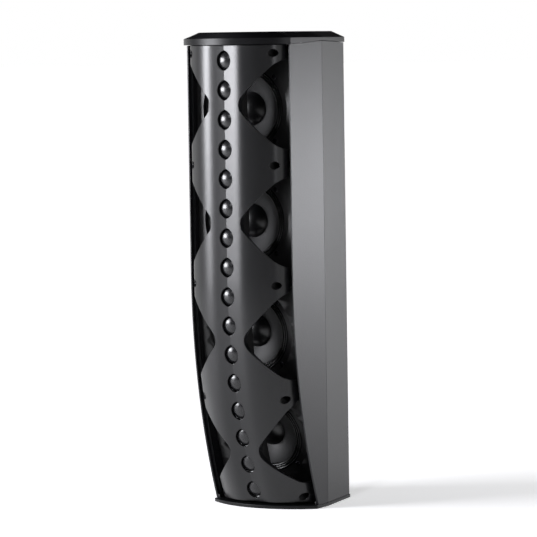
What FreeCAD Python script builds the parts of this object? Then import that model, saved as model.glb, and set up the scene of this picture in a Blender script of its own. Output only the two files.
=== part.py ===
import FreeCAD, Part
import math
import os

os.makedirs("parts", exist_ok=True)
Vec = FreeCAD.Vector

# Millimetres. X is across the width, -Y is the front, +Z is up.
# The origin is the middle of the footprint on the floor.

# cabinet
height = 695.0
depth = 228.0
front_width = 173.0
seam_width = 176.0
rear_width = 151.6
wall = 5.0
joint_gap = 0.7
lip_thickness = 1.8
lip_depth = 8.0
clearance = 0.3

# front line: the curve that carries the tweeter centres
cap_lead = 10.3
line_reach = 38.7
bend_share = 0.4964
line_end_angle = 25.04
wall_end_angle = 21.53
seam_share = 0.503
tongue_share = 0.2

# drivers
tweeter_count = 16
woofer_count = 4
tweeters_per_woofer = 4
first_tweeter_share = 0.0581
last_tweeter_angle = 22.95
top_woofer_drop = 7.0
cone_travel = 4.0

# fascia
fascia_skin = 3.0
neck_half_width = 24.0
fascia_hole_radius = 5.5
screw_half_spacing_share = 0.396
boss_wall = 2.2
screw_steps = (-1.963, -1.018, 0.0, 1.018, 1.963)
screw_drop = 5.0

# caps
roof_rise = 9.0
band_height = 9.0
cap_overhang = 3.5
bottom_thickness = 5.0
bottom_lead = 10.9

# rear panel and bracket pattern
panel_width = 96.0
panel_height = 116.0
panel_recess = 16.0
panel_centre_share = 0.367
panel_thickness = 2.5
post_length = 26.0
connector_half_width = 22.0
connector_half_height = 6.5
knob_radius = 9.0
slider_travel = 4.0
bracket_spacing_x = 70.0
bracket_spacing_z = 127.0
bracket_centre_share = 0.676
insert_bore_radius = 2.5
insert_length = 12.0

# values that follow from the ones above
front_y = -depth / 2
rear_y = depth / 2
line_y = front_y + cap_lead
edge_y = line_y + line_reach
seam_y = edge_y + seam_share * (rear_y - edge_y)
bend_z = bend_share * height
line_radius = bend_z / math.sin(math.radians(line_end_angle))
wall_radius = bend_z / math.sin(math.radians(wall_end_angle))
straight_length = height - bend_z
first_tweeter = first_tweeter_share * height
last_tweeter = straight_length + math.radians(last_tweeter_angle) * line_radius
tweeter_pitch = (last_tweeter - first_tweeter) / (tweeter_count - 1)
woofer_pitch = tweeters_per_woofer * tweeter_pitch
first_woofer = first_tweeter + (tweeters_per_woofer - 1) / 2 * tweeter_pitch
half_front = front_width / 2
half_seam = seam_width / 2
half_rear = rear_width / 2
half_inside = half_front - wall
cap_under = height - roof_rise - band_height
cap_band_top = height - roof_rise
seam_rise = 4.5
rear_rise = 1.5
inner_top = cap_under - 0.5
screw_x = screw_half_spacing_share * front_width
panel_face = rear_y - panel_recess
panel_back = panel_face - 3.0

# woofer sizes follow the narrower of the width and the spacing
frame_radius = min(half_inside - 11.5, woofer_pitch / 2 - 14.8)
frame_lip = 10.0
surround_outer = frame_radius - frame_lip
surround_width = 9.7
cone_back = 18.7
cone_radius = surround_outer - surround_width - 0.4
cap_radius = 0.5 * cone_radius
coil_radius = 0.323 * cone_radius
flange_depth = 62.0
flange_thickness = 3.0
baffle_depth = flange_depth + flange_thickness
baffle_thickness = 9.0
baffle_front = flange_depth - 6.5
baffle_back = baffle_depth + baffle_thickness
screw_seat = baffle_front - 7.0
plate_depth = flange_depth + 22.0 + 3 * cone_travel
magnet_end = plate_depth + 23.0

# tweeter sizes follow their spacing
tweeter_radius = 0.378 * tweeter_pitch
dome_radius = 0.84 * tweeter_radius
spine_half = neck_half_width - 2.0
spine_front = 3.6
spine_back = 27.0
spine_wall = 2.5
lens_half_width = 0.26 * tweeter_pitch
lens_half_height = 0.336 * tweeter_pitch


def save(name, shape):
    shape.exportStep("parts/" + name + ".step")


def together(solids):
    return Part.makeCompound(solids)


def station(distance, inward=0.0):
    """Placement on the front line: local -Y points out of the front, local +Y into the cabinet."""
    lean = max(0.0, distance - straight_length) / line_radius
    y = line_y + line_radius - (line_radius - inward) * math.cos(lean)
    if lean == 0.0:
        z = height - distance
    else:
        z = bend_z - (line_radius - inward) * math.sin(lean)
    return FreeCAD.Placement(Vec(0, y, z), FreeCAD.Rotation(Vec(1, 0, 0), math.degrees(lean)))


def placed(shape, placement):
    moved = shape.copy()
    moved.Placement = placement.multiply(moved.Placement)
    return moved


def ring(outer, inner, start, end):
    """Round ring on the local Y axis between two depths."""
    body = Part.makeCylinder(outer, end - start, Vec(0, start, 0), Vec(0, 1, 0))
    if inner > 0:
        body = body.cut(Part.makeCylinder(inner, end - start + 2, Vec(0, start - 1, 0), Vec(0, 1, 0)))
    return body


def turned(points):
    """Solid of revolution about the local Y axis from (radius, depth) corners."""
    corners = [Vec(r, y, 0) for r, y in points]
    face = Part.Face(Part.makePolygon(corners + corners[:1]))
    return face.revolve(Vec(0, 0, 0), Vec(0, 1, 0), 360)


def box(x0, x1, y0, y1, z0, z1):
    return Part.makeBox(x1 - x0, y1 - y0, z1 - z0, Vec(x0, y0, z0))


def along_front(face, top_z, end_angle=line_end_angle + 4.0):
    """Carry a flat profile (x, inward) along the front line, straight part then arc."""
    base = face.copy()
    base.translate(Vec(0, line_y, bend_z))
    straight = base.extrude(Vec(0, 0, top_z - bend_z))
    centre = Vec(0, line_y + line_radius, bend_z)
    arc = base.revolve(centre, Vec(1, 0, 0), end_angle)
    return straight.fuse(arc).removeSplitter()


def rectangle(x0, x1, y0, y1):
    corners = [Vec(x0, y0, 0), Vec(x1, y0, 0), Vec(x1, y1, 0), Vec(x0, y1, 0)]
    return Part.Face(Part.makePolygon(corners + corners[:1]))


def plan(front, seam, rear, y_front, y_rear):
    """Six-sided plan outline of the cabinet."""
    right = [(front, y_front), (seam, seam_y), (rear, y_rear)]
    corners = right + [(-x, y) for x, y in reversed(right)]
    points = [Vec(x, y, 0) for x, y in corners]
    return Part.Face(Part.makePolygon(points + points[:1]))


def prism(face, z0, z1):
    body = face.extrude(Vec(0, 0, z1 - z0))
    body.translate(Vec(0, 0, z0))
    return body


def wall_curve_cutter(lead=0.0):
    """Everything in front of the curved front edge of the side walls."""
    far = 400.0
    y_edge = edge_y - lead
    drop = wall_radius * math.sin(math.radians(wall_end_angle + 3.0))
    y_end = y_edge + wall_radius * (1 - math.cos(math.radians(wall_end_angle + 3.0)))
    half = math.radians((wall_end_angle + 3.0) / 2)
    middle = Vec(0, y_edge + wall_radius * (1 - math.cos(half)), bend_z - wall_radius * math.sin(half))
    top = Vec(0, y_edge, height + 20)
    bend = Vec(0, y_edge, bend_z)
    end = Vec(0, y_end, bend_z - drop)
    corner_low = Vec(0, y_edge - far, bend_z - drop)
    corner_high = Vec(0, y_edge - far, height + 20)
    edges = [Part.LineSegment(top, bend).toShape(), Part.Arc(bend, middle, end).toShape()]
    edges.append(Part.LineSegment(end, corner_low).toShape())
    edges.append(Part.LineSegment(corner_low, corner_high).toShape())
    edges.append(Part.LineSegment(corner_high, top).toShape())
    face = Part.Face(Part.Wire(edges))
    cutter = face.extrude(Vec(2 * front_width, 0, 0))
    cutter.translate(Vec(-front_width, 0, 0))
    return cutter


def above_cap_joint(drop):
    """Zone above the stepped joint between the walls and the top cap."""
    far = depth
    outline = [(-far, cap_under), (edge_y, cap_under), (seam_y, cap_under + seam_rise)]
    outline += [(rear_y, cap_under + rear_rise), (far, cap_under + rear_rise)]
    outline += [(far, height + 40), (-far, height + 40)]
    points = [Vec(-front_width, y, z - drop) for y, z in outline]
    face = Part.Face(Part.makePolygon(points + points[:1]))
    return face.extrude(Vec(2 * front_width, 0, 0))


def front_shell():
    bottom = bottom_thickness
    walls = prism(plan(half_front, half_seam, half_rear, edge_y, rear_y), bottom + joint_gap, height)
    inside = plan(half_front - wall, half_seam - wall, half_rear - wall, edge_y - 1, rear_y + 1)
    walls = walls.cut(prism(inside, -1, height + 1))
    floor = prism(plan(half_front - 1, half_seam - 1, half_rear - 1, edge_y, rear_y), bottom, bottom + 5)
    roof = prism(plan(half_front - 1, half_seam - 1, half_rear - 1, edge_y, rear_y), inner_top - 5, inner_top)
    body = walls.fuse([floor, roof])
    front_of_baffle = along_front(rectangle(-half_inside, half_inside, -80, baffle_back), height)
    for side in (-1, 1):
        x0, x1 = sorted((side * (half_inside - 9), side * (half_inside + 2)))
        body = body.fuse(along_front(rectangle(x0, x1, baffle_back, baffle_back + 6), inner_top - 1))
    body = body.cut(front_of_baffle)
    body = body.cut(wall_curve_cutter())
    room = half_front - lip_thickness
    rebate = wall_curve_cutter(-lip_depth).common(box(-room, room, -300, 300, bottom + 5, height))
    body = body.cut(rebate)
    body = body.cut(above_cap_joint(joint_gap))
    body = body.cut(box(-200, 200, seam_y, 400, -10, height + 10))
    body = body.cut(box(-200, 200, -300, 300, -60, bottom))
    lip_room = plan(half_front, half_seam - wall + 0.2, half_rear, seam_y - 7, rear_y)
    return body.cut(prism(lip_room, bottom, inner_top).common(box(-200, 200, seam_y - 7, 400, 0, height)))


def panel_zone():
    centre = panel_centre_share * height
    return centre - panel_height / 2, centre + panel_height / 2


def bracket_points():
    centre = bracket_centre_share * height
    xs = (-bracket_spacing_x / 2, bracket_spacing_x / 2)
    zs = (centre - bracket_spacing_z / 2, centre + bracket_spacing_z / 2)
    return [(x, z) for x in xs for z in zs]


def rear_shell():
    bottom = bottom_thickness
    shell = prism(plan(half_front, half_seam, half_rear, edge_y, rear_y), bottom, height)
    side_edges = [e for e in shell.Edges if e.Length > height - bottom - 1 and e.Vertexes[0].Y > rear_y - 1]
    shell = shell.makeFillet(6.0, side_edges)
    inside = plan(half_front - wall, half_seam - wall, half_rear - wall, edge_y - 1, rear_y - wall)
    shell = shell.cut(prism(inside, bottom + 5, inner_top - 5))
    shell = shell.cut(box(-200, 200, -300, seam_y + joint_gap, -10, height + 10))
    shell = shell.cut(above_cap_joint(joint_gap))
    skirt = prism(plan(200, 200, 200, edge_y, 400), bottom, bottom + joint_gap)
    inner = prism(plan(half_front - 1, half_seam - 1, half_rear - 1, edge_y, rear_y - 1), 0, bottom + 2)
    shell = shell.cut(skirt.cut(inner))
    lid = prism(plan(300, 300, 300, edge_y, 400), inner_top, height + 10)
    rim_plan = plan(half_front - wall, half_seam - wall, half_rear - wall, edge_y, rear_y - wall)
    rim = prism(rim_plan, 0, height + 9)
    shell = shell.cut(lid.common(rim))
    tongue_plan = plan(half_front - wall, half_seam - wall, half_rear - wall, edge_y, rear_y)
    tongue = prism(tongue_plan, bottom + 6, inner_top - 6)
    hollow = plan(half_front - wall - 2.5, half_seam - wall - 2.5, half_rear - wall - 2.5, edge_y - 1, rear_y)
    tongue = tongue.cut(prism(hollow, 0, height))
    tongue_start = tongue_share * height
    shell = shell.fuse(tongue.common(box(-200, 200, seam_y - 5, seam_y + 8, tongue_start, height)))
    z0, z1 = panel_zone()
    half = panel_width / 2
    tray = box(-half - 3, half + 3, rear_y - panel_recess - 6, rear_y - 1, z0 - 3, z1 + 3)
    shell = shell.fuse(tray)
    shell = shell.cut(box(-half, half, rear_y - panel_recess - 3, rear_y + 1, z0, z1))
    shell = shell.cut(box(-half + 7, half - 7, 0, rear_y, z0 + 7, z1 - 7))
    for x, z in panel_screw_points():
        shell = shell.cut(Part.makeCylinder(1.25, 30, Vec(x, rear_y - panel_recess - 12, z), Vec(0, 1, 0)))
    for x, z in bracket_points():
        boss = Part.makeCylinder(8.5, insert_length + 3, Vec(x, rear_y - insert_length - 3, z), Vec(0, 1, 0))
        shell = shell.fuse(boss)
        seat = Part.makeCylinder(4.5, insert_length, Vec(x, rear_y - insert_length, z), Vec(0, 1, 0))
        shell = shell.cut(seat)
    return shell.removeSplitter()


def bowed_plan(half_corner, y_corner, y_centre, half_at_seam, half_back, y_back):
    """Cap outline: bowed front edge, two side runs each side, straight back."""
    points = [Vec(-half_corner, y_corner, 0), Vec(0, y_centre, 0), Vec(half_corner, y_corner, 0)]
    arc = Part.Arc(points[0], points[1], points[2]).toShape()
    run = [points[2], Vec(half_at_seam, seam_y, 0), Vec(half_back, y_back, 0)]
    run += [Vec(-half_back, y_back, 0), Vec(-half_at_seam, seam_y, 0), points[0]]
    sides = [Part.LineSegment(a, b).toShape() for a, b in zip(run, run[1:])]
    return Part.Wire([arc] + sides)


def top_cap():
    corner_y = edge_y - 3.0
    outer = bowed_plan(half_front + cap_overhang, corner_y, front_y, half_seam + 0.8, half_rear, rear_y)
    ridge = bowed_plan(half_front - 22, corner_y + 4, front_y + 4, half_seam - 23, half_rear - 22, rear_y)
    low = outer.copy()
    low.translate(Vec(0, 0, cap_under))
    high = outer.copy()
    high.translate(Vec(0, 0, cap_band_top))
    peak = ridge.copy()
    peak.translate(Vec(0, 0, height))
    band = Part.makeLoft([low, high], True, True)
    roof = Part.makeLoft([high, peak], True, True)
    cap = band.fuse(roof).removeSplitter()
    pocket = plan(half_inside - 3, half_seam - wall - 3, half_rear - wall - 3, edge_y + 6, rear_y - wall - 3)
    cap = cap.cut(prism(pocket, cap_under - 1, cap_band_top - 3))
    wide = plan(half_front + 9, half_seam + 9, half_rear + 9, edge_y, rear_y + 9)
    seat = prism(wide, cap_under - 1, height)
    seat = seat.cut(above_cap_joint(0.0))
    return cap.cut(seat)


def bottom_cap():
    corner_y = edge_y + wall_radius * (1 - math.cos(math.radians(wall_end_angle))) - 7.0
    centre_y = line_y + line_radius * (1 - math.cos(math.radians(line_end_angle))) - bottom_lead
    outline = bowed_plan(half_front + 1.5, corner_y, centre_y, half_seam + 0.8, half_rear, rear_y)
    return prism(Part.Face(outline), 0, bottom_thickness)


def fascia_section():
    """Half section as (x, inward): centre valley, shoulder, flank, screw land, rear edge."""
    w = front_width / 173.0
    return [(0, 0), (12 * w, -1.1), (24.5 * w, -1.9), (38 * w, 0.9), (52 * w, 7.8), (62 * w, 14.8),
            (69.3 * w, 21.2), (75.2 * w, 32.0), (78.5 * w, 45.0)]


def spline(points):
    curve = Part.BSplineCurve()
    curve.interpolate([Vec(x, y, 0) for x, y in points])
    return curve


def shifted(points, distance):
    """The same section moved inward square to the surface."""
    curve = spline(points)
    moved = []
    for x, y in points:
        tangent = curve.tangent(curve.parameter(Vec(x, y, 0)))[0]
        normal = Vec(-tangent.y, tangent.x, 0)
        moved.append((max(0.0, x + normal.x * distance), y + normal.y * distance))
    moved[0] = (0.0, distance * 1.003)
    moved[-1] = (points[-1][0] - distance, points[-1][1])
    return moved


def fascia_face(near, far):
    """Closed band of the section between two depths below the front skin."""
    outer = fascia_section() if near == 0 else shifted(fascia_section(), near)
    inner = shifted(fascia_section(), far)
    wires = []
    for side in (-1, 1):
        wires.append([(side * x, y) for x, y in outer])
        wires.append([(side * x, y) for x, y in inner])
    edges = [spline(run).toShape() for run in wires]
    for side in (0, 2):
        a = Vec(wires[side][-1][0], wires[side][-1][1], 0)
        b = Vec(wires[side + 1][-1][0], wires[side + 1][-1][1], 0)
        edges.append(Part.LineSegment(a, b).toShape())
    return Part.Face(Part.Wire(Part.__sortEdges__(edges)))


def inside_fascia():
    """Space behind the middle of the fascia skin, back to the baffle."""
    outer = shifted(fascia_section(), 0.5 * fascia_skin)
    left = [(-x, y) for x, y in outer]
    edges = [spline(outer).toShape(), spline(left).toShape()]
    x, y = outer[-1]
    corners = [Vec(x, y, 0), Vec(x, baffle_front, 0), Vec(-x, baffle_front, 0), Vec(-x, y, 0)]
    edges += [Part.LineSegment(a, b).toShape() for a, b in zip(corners, corners[1:])]
    return along_front(Part.Face(Part.Wire(Part.__sortEdges__(edges))), cap_under - 0.6)


def opening_outline(grow=0.0):
    """Half outline of a woofer opening: rounded neck, straight flank, lobe end at the wall."""
    k = woofer_pitch / 169.6
    w = front_width / 173.0
    upper = [(neck_half_width, 0), (25.6 * w, 7 * k), (31 * w, 14.5 * k), (46 * w, 31.3 * k)]
    upper += [(61 * w, 47.8 * k), (69.5 * w, 56.8 * k), (75.5 * w, 62.2 * k)]
    upper += [(79 * w, 65.6 * k), (98 * w, 69.5 * k)]
    if grow:
        upper = [(x - grow * 0.7, s + (grow * 0.7 if s else 0)) for x, s in upper]
    run = [(x, -s) for x, s in reversed(upper)] + upper[1:]
    curve = Part.BSplineCurve()
    curve.interpolate([Vec(x, 0, s) for x, s in run])
    edge = curve.toShape()
    closing = Part.LineSegment(Vec(run[-1][0], 0, run[-1][1]), Vec(run[0][0], 0, run[0][1])).toShape()
    return Part.Face(Part.Wire([edge, closing]))


def opening_cutter(side, grow=0.0):
    body = opening_outline(grow).extrude(Vec(0, 100, 0))
    body.translate(Vec(0, -30, 0))
    if side < 0:
        body = body.mirror(Vec(0, 0, 0), Vec(1, 0, 0))
    return body


def lens_cutter():
    """Pointed lens prism: two arcs meeting at the upper and lower tips."""
    tips = [Vec(0, -20, lens_half_height), Vec(0, -20, -lens_half_height)]
    right = Part.Arc(tips[0], Vec(lens_half_width, -20, 0), tips[1]).toShape()
    left = Part.Arc(tips[1], Vec(-lens_half_width, -20, 0), tips[0]).toShape()
    return Part.Face(Part.Wire([right, left])).extrude(Vec(0, 30, 0))


def tweeter_stations():
    return [first_tweeter + i * tweeter_pitch for i in range(tweeter_count)]


def opening_stations():
    return [first_woofer + i * woofer_pitch for i in range(woofer_count)]


def woofer_stations():
    stations = opening_stations()
    return [stations[0] + top_woofer_drop] + stations[1:]


def screw_stations():
    middle = first_woofer + (woofer_count - 1) / 2 * woofer_pitch + screw_drop
    return [middle + step * woofer_pitch for step in screw_steps]


def fascia():
    skin = along_front(fascia_face(0, fascia_skin), cap_under - 0.6)
    band = along_front(fascia_face(fascia_skin - 0.5, fascia_skin + 6.0), cap_under - 0.6)
    openings = []
    rims = []
    for distance in opening_stations():
        for side in (-1, 1):
            openings.append(placed(opening_cutter(side), station(distance)))
            rims.append(placed(opening_cutter(side, 2.4), station(distance)))
    rim = band.common(Part.makeCompound(rims))
    body = skin.fuse(rim)
    bosses = []
    bores = []
    section = fascia_section()
    land = section[6][1]
    for distance in screw_stations():
        for side in (-1, 1):
            outer = ring(fascia_hole_radius + boss_wall, 0, land + 2, baffle_front)
            outer.translate(Vec(side * screw_x, 0, 0))
            bosses.append(placed(outer, station(distance)))
            bore = ring(fascia_hole_radius, 0, -10, screw_seat)
            bore = bore.fuse(ring(2.3, 0, 0, baffle_front + 2))
            bore.translate(Vec(side * screw_x, 0, 0))
            bores.append(placed(bore, station(distance)))
    body = body.fuse(Part.makeCompound(bosses).common(inside_fascia()))
    lenses = [placed(lens_cutter(), station(distance)) for distance in tweeter_stations()]
    body = body.cut(openings + lenses + bores)
    return body.cut(box(-200, 200, -300, 300, -100, bottom_thickness + 4.0))


def tweeter_spine():
    top = cap_under - 4
    outer = along_front(rectangle(-spine_half, spine_half, spine_front, spine_back), top)
    x = spine_half - spine_wall
    hollow = rectangle(-x, x, spine_front + 3.8, spine_back - spine_wall)
    inner = along_front(hollow, top - 3, line_end_angle + 1)
    bore = ring(tweeter_radius + 0.2, 0, -5, spine_back - spine_wall)
    holes = [placed(bore, station(distance)) for distance in tweeter_stations()]
    body = outer.cut([inner] + holes)
    return body.cut(box(-200, 200, -300, 300, -100, bottom_thickness + 8.0))


def tweeter_body():
    """Motor of one tweeter: ring, pole and back plate around the voice-coil gap."""
    r = tweeter_radius
    back = spine_back - spine_wall
    gap_out = dome_radius + 0.6
    gap_in = dome_radius - 1.2
    corners = [(0, back), (r, back), (r, 6.0), (gap_out + 1.0, 6.0), (gap_out, 7.5), (gap_out, back - 3)]
    corners += [(gap_in, back - 3), (gap_in, 12.0), (0, 12.0)]
    return turned(corners)


def tweeter_dome():
    """Domed diaphragm with its coil former, clear of the motor on all sides."""
    rise = 4.6
    apex = 0.2
    edge = apex + rise
    ball = (dome_radius ** 2 + rise ** 2) / (2 * rise)
    shell = 0.5
    outer = Part.makeSphere(ball, Vec(0, apex + ball, 0))
    inner = Part.makeSphere(ball - shell, Vec(0, apex + ball, 0))
    dome = outer.cut(inner).common(ring(dome_radius, 0, apex - 1, edge))
    former = ring(dome_radius, dome_radius - 0.7, edge - 1.2, 14.0)
    return dome.fuse(former).removeSplitter()


def woofer_frame():
    """Cast basket: flange, six-armed cone of legs and a rear ring for the motor."""
    lip = frame_radius - frame_lip
    t = 2.0
    rear_in = coil_radius + 4
    rear_out = 0.58 * frame_radius
    f = flange_depth
    corners = [(frame_radius, f), (frame_radius, f + flange_thickness), (lip - 1, f + flange_thickness)]
    corners += [(lip - 3, f + 14), (rear_out, plate_depth - 3)]
    corners += [(rear_out, plate_depth), (rear_in, plate_depth)]
    corners += [(rear_in, plate_depth - t), (rear_out - t - 1, plate_depth - t), (lip - 3 - t - 1, f + 13)]
    corners += [(lip - t - 1, f + 2.4), (lip, f + 2.4), (lip, f)]
    body = turned(corners)
    windows = []
    for i in range(6):
        window = box(-0.15 * frame_radius, 0.15 * frame_radius, f + 9, plate_depth - 6, 0, 2 * frame_radius)
        window.rotate(Vec(0, 0, 0), Vec(0, 1, 0), 60 * i + 30)
        windows.append(window)
    body = body.cut(windows)
    holes = [moved_hole(2.4, f - 2, f + 6, frame_screw_point(i)) for i in range(4)]
    return body.cut(holes)


def frame_screw_point(i):
    angle = math.radians(45 + 90 * i)
    reach = frame_radius - 4.6
    return reach * math.cos(angle), reach * math.sin(angle)


def moved_hole(radius, start, end, point):
    hole = ring(radius, 0, start, end)
    hole.translate(Vec(point[0], 0, point[1]))
    return hole


def woofer_surround():
    """Accordion of half rolls between the cone edge and the flange."""
    inner = surround_outer - surround_width
    f = flange_depth - 0.4
    steps = 24
    rolls = 3
    lower = []
    upper = []
    for i in range(steps + 1):
        u = i / steps
        r = inner + u * (surround_width - 0.15)
        wave = abs(math.sin(math.pi * rolls * u))
        lower.append((r, f + 1.2 - 2.4 * wave))
        upper.append((r, f + 2.4 - 2.4 * wave))
    return turned(lower + list(reversed(upper)))


def woofer_cone():
    r = cone_radius
    f = flange_depth
    t = 1.2
    neck_r = coil_radius + 0.2
    corners = [(r, f + 1.0), (cap_radius, f + 11.5), (neck_r, f + 17), (neck_r, f + 17 + t * 1.4)]
    corners += [(cap_radius, f + 11.5 + t * 1.1), (r - 1, f + 2.4), (r, f + 2.4)]
    return turned(corners)


def dust_cap():
    rise = 12.0 * cap_radius / 24.6
    edge = flange_depth + 11.3 - 0.1
    radius = cap_radius - 0.3
    ball = (radius ** 2 + rise ** 2) / (2 * rise)
    centre = edge - rise + ball
    outer = Part.makeSphere(ball, Vec(0, centre, 0))
    inner = Part.makeSphere(ball - 0.9, Vec(0, centre, 0))
    return outer.cut(inner).common(ring(radius, 0, edge - rise - 1, edge))


def voice_coil():
    f = flange_depth
    former = ring(coil_radius, coil_radius - 0.5, f + 17.2, plate_depth + 11)
    winding = ring(coil_radius + 0.8, coil_radius, plate_depth - cone_travel, plate_depth + 9)
    return former.fuse(winding)


def basket_inside(depth):
    """Inner radius of the basket cone at a depth, between its front rim and its rear ring."""
    wide, narrow = surround_outer - 6.0, 0.58 * frame_radius - 3.0
    start, end = flange_depth + 13.0, plate_depth - 2.0
    return wide - (wide - narrow) * (depth - start) / (end - start)


def spider():
    inner = coil_radius + 0.4
    f = (flange_depth + cone_back + plate_depth - cone_travel - 1.3) / 2
    outer = basket_inside(f + 0.8) - clearance
    steps = 20
    lower = []
    upper = []
    for i in range(steps + 1):
        u = i / steps
        r = inner + u * (outer - inner)
        wave = 1.2 * math.sin(2 * math.pi * 4 * u)
        lower.append((r, f + wave))
        upper.append((r, f + 0.8 + wave))
    return turned(lower + list(reversed(upper)))


def magnet():
    plate = ring(0.55 * frame_radius, coil_radius + 1.3, plate_depth, plate_depth + 5)
    ferrite = ring(0.59 * frame_radius, coil_radius + 4.5, plate_depth + 5, magnet_end - 5)
    pole = ring(coil_radius - 1.0, 0, plate_depth, magnet_end - 5)
    back = ring(0.55 * frame_radius, 0, magnet_end - 5, magnet_end)
    return together([plate, ferrite, pole.fuse(back).removeSplitter()])


def baffle():
    half = half_inside - clearance
    board = along_front(rectangle(-half, half, baffle_front, baffle_back), inner_top - 5.3)
    pads = []
    cuts = []
    for distance in woofer_stations():
        place = station(distance)
        pads.append(placed(ring(frame_radius + 1.5, 0, baffle_depth, baffle_depth + 6), place))
        bore = ring(frame_radius - frame_lip - 0.2, 0, flange_depth - 5, baffle_depth + 30)
        cuts.append(placed(bore, place))
        pocket = ring(frame_radius + 0.5, 0, flange_depth - 12, baffle_depth)
        cuts.append(placed(pocket, place))
        for i in range(4):
            hole = moved_hole(1.9, baffle_depth - 5, baffle_depth + 30, frame_screw_point(i))
            cuts.append(placed(hole, place))
    for distance in screw_stations():
        for side in (-1, 1):
            pad = ring(fascia_hole_radius + boss_wall + 1, 0, baffle_front, baffle_front + 2)
            pad.translate(Vec(side * screw_x, 0, 0))
            pads.append(placed(pad, station(distance)))
            hole = moved_hole(1.9, baffle_front - 5, baffle_back + 20, (side * screw_x, 0))
            cuts.append(placed(hole, station(distance)))
            clear = ring(fascia_hole_radius + boss_wall + 0.4, 0, baffle_front - 6, baffle_front)
            clear.translate(Vec(side * screw_x, 0, 0))
            cuts.append(placed(clear, station(distance)))
    body = board.fuse(pads).cut(cuts)
    slim = wall + clearance
    room = prism(plan(half_front - slim, half_seam - slim, half_rear - slim, edge_y, rear_y), -50, height)
    ahead = prism(plan(half_inside, half_inside, half_inside, 2 * front_y, edge_y), -50, height)
    return body.common(room.fuse(ahead)).cut(box(-200, 200, -300, 300, -100, bottom_thickness + 5.3))


def screw(head_radius, head_height, shank_radius, seat, length):
    """Pan screw on the local Y axis, head in front of its seat, with a cross slot."""
    head = ring(head_radius, 0, seat - head_height, seat)
    shank = ring(shank_radius, 0, seat, seat + length)
    reach = 0.6 * head_radius
    top = seat - head_height
    slot_a = box(-reach, reach, top - 1, top + 1.2, -0.5, 0.5)
    slot_b = box(-0.5, 0.5, top - 1, top + 1.2, -reach, reach)
    return head.fuse(shank).cut([slot_a, slot_b])


def woofer_screws():
    solids = []
    for distance in woofer_stations():
        for i in range(4):
            one = screw(3.9, 2.4, 1.8, flange_depth, 11)
            x, z = frame_screw_point(i)
            one.translate(Vec(x, 0, z))
            solids.append(placed(one, station(distance)))
    return together(solids)


def fascia_screws():
    solids = []
    for distance in screw_stations():
        for side in (-1, 1):
            one = screw(4.2, 3.0, 1.8, screw_seat, 14)
            one.translate(Vec(side * screw_x, 0, 0))
            solids.append(placed(one, station(distance)))
    return together(solids)


def panel_screw_points():
    z0, z1 = panel_zone()
    half = panel_width / 2
    return [(x, z) for x in (-half + 3.6, half - 3.6) for z in (z0 + 3.6, z1 - 3.6)]


def panel_features():
    """Centres of the connector, the selector and the slide switch on the rear panel."""
    z0, z1 = panel_zone()
    middle = (z0 + z1) / 2
    return (0.0, middle - 30), (-20.0, middle + 22), (24.0, middle + 22)


def post_points():
    z0, z1 = panel_zone()
    half = panel_width / 2
    return [(x, z) for x in (-half + 12, half - 12) for z in (z0 + 12, z1 - 12)]


def input_panel():
    z0, z1 = panel_zone()
    half = panel_width / 2
    front = panel_back + panel_thickness
    plate = box(-half + 0.3, half - 0.3, panel_back, front, z0 + 0.3, z1 - 0.3)
    ahead = panel_back - post_length
    posts = [Part.makeCylinder(3, post_length, Vec(x, ahead, z), Vec(0, 1, 0)) for x, z in post_points()]
    body = plate.fuse(posts)
    (cx, cz), (kx, kz), (sx, sz) = panel_features()
    w = connector_half_width + 1.8
    h = connector_half_height + 1.8
    body = body.cut(box(cx - w, cx + w, panel_back - 1, front + 1, cz - h, cz + h))
    body = body.cut(Part.makeCylinder(3.4, 8, Vec(kx, panel_back - 2, kz), Vec(0, 1, 0)))
    body = body.cut(box(sx - 2.4, sx + 2.4, panel_back - 2, front + 2, sz - 2.8, sz + slider_travel + 2.8))
    for x, z in panel_screw_points():
        body = body.cut(Part.makeCylinder(1.7, 8, Vec(x, panel_back - 2, z), Vec(0, 1, 0)))
    return body


def panel_screws():
    front = panel_back + panel_thickness
    solids = []
    for x, z in panel_screw_points():
        one = screw(2.8, 1.8, 1.2, 0, 7)
        one.rotate(Vec(0, 0, 0), Vec(0, 0, 1), 180)
        one.translate(Vec(x, front, z))
        solids.append(one)
    return together(solids)


def terminal_socket():
    """Panel half of the pluggable connector, an open box with a pin row."""
    (cx, cz), _, _ = panel_features()
    w = connector_half_width + 1.5
    h = connector_half_height + 1.5
    front = panel_back + panel_thickness
    shell = box(cx - w, cx + w, panel_back - 9, front + 1.5, cz - h, cz + h)
    flange = box(cx - w - 3, cx + w + 3, front, front + 1.5, cz - h - 2, cz + h + 2)
    room = box(cx - w + 1.2, cx + w - 1.2, panel_back - 7.5, front + 3, cz - h + 1.2, cz + h - 1.2)
    body = shell.fuse(flange).cut(room)
    pins = []
    for i in range(4):
        x = cx - 15 + 10 * i
        pins.append(box(x - 0.5, x + 0.5, panel_back - 13, panel_back - 1, cz - 0.5, cz + 0.5))
    return body.fuse(pins)


def terminal_plug():
    """Pull-out half with four wire holes at the rear and four clamp screws on top."""
    (cx, cz), _, _ = panel_features()
    w = connector_half_width
    h = connector_half_height
    front = panel_back + panel_thickness
    body = box(cx - w, cx + w, panel_back - 7.2, front + 1.8, cz - h, cz + h)
    body = body.fuse(box(cx - w, cx + w, front + 1.8, front + 13, cz - h - 1.5, cz + h + 1.5))
    cuts = []
    for i in range(4):
        x = cx - 15 + 10 * i
        cuts.append(box(x - 1.0, x + 1.0, panel_back - 9, panel_back + 1, cz - 1.0, cz + 1.0))
        cuts.append(box(x - 2.4, x + 2.4, front + 7, front + 14, cz - 4.2, cz + 0.6))
        cuts.append(Part.makeCylinder(2.3, 3, Vec(x, front + 7, cz + h - 0.7)))
    return body.cut(cuts)


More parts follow.
